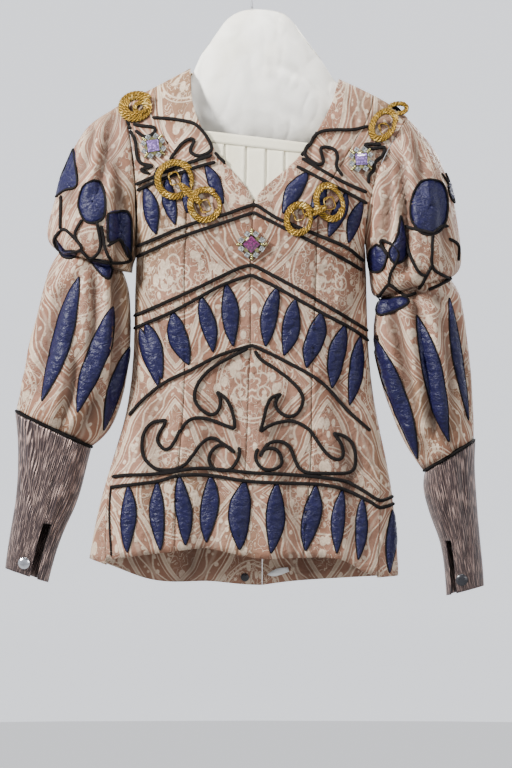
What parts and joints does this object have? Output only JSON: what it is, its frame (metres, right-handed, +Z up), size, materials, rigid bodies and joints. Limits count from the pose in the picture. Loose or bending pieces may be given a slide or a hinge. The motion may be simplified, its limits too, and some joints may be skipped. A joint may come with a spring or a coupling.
{
  "type": "historic stage doublet on a padded clothes hanger",
  "caption": "Brocade stage doublet with puffed sleeves, corded and leaf-shaped appliques, gold rope knots and jewels, hanging on a padded wire hanger.",
  "frame": {"origin": "the hook's bearing point, inside the top of its loop", "axes": "+Z up along the hook; the doublet's front faces -Y; +X is the viewer's right"},
  "size_m": [0.6635, 0.1714, 0.8922],
  "materials": {
    "brocade": "woven damask, soft sheen",
    "cream": "plain weave",
    "calico": "padded plain weave",
    "navy": "ruched satin",
    "cord": "braided cord",
    "lame": "crinkled lame",
    "gold": "twisted metallic rope",
    "jewel": "cut glass",
    "silver": "polished",
    "wire": "drawn wire",
    "black": "glossy",
    "tape": "woven tape"
  },
  "bodies": {
    "root": {"front_centre_left": "brocade", "front_centre_right": "brocade", "front_side_left": "brocade", "front_side_right": "brocade", "back_left": "brocade", "back_right": "brocade", "upper_puff_left": "brocade", "upper_puff_right": "brocade", "lower_puff_left": "brocade", "lower_puff_right": "brocade", "vestee_band": "cream", "vestee_pleats": "cream", "hanger_pad": "calico", "hem_leaves": "navy", "waist_leaves": "navy", "yoke_leaves_left": "navy", "yoke_leaves_right": "navy", "belly_arc_cord": "cord", "belly_scroll_left": "cord", "belly_scroll_right": "cord", "chest_cord_lower": "cord", "chest_cord_upper": "cord", "cuff_piping_left": "cord", "cuff_piping_right": "cord", "hem_cord": "cord", "waist_cord": "cord", "yoke_cord_left": "cord", "yoke_cord_right": "cord", "cuff_left": "lame", "cuff_right": "lame", "gold_knot_chest_left": "gold", "gold_knot_chest_right": "gold", "gold_knot_shoulder_left": "gold", "gold_knot_shoulder_right": "gold", "jewel_centre": "jewel", "jewel_left": "jewel", "jewel_right": "jewel", "cuff_button_left": "silver", "hook_wire": "wire", "cuff_button_right": "black", "back_popper": "black", "back_tape": "tape"}
  },
  "joints": []
}
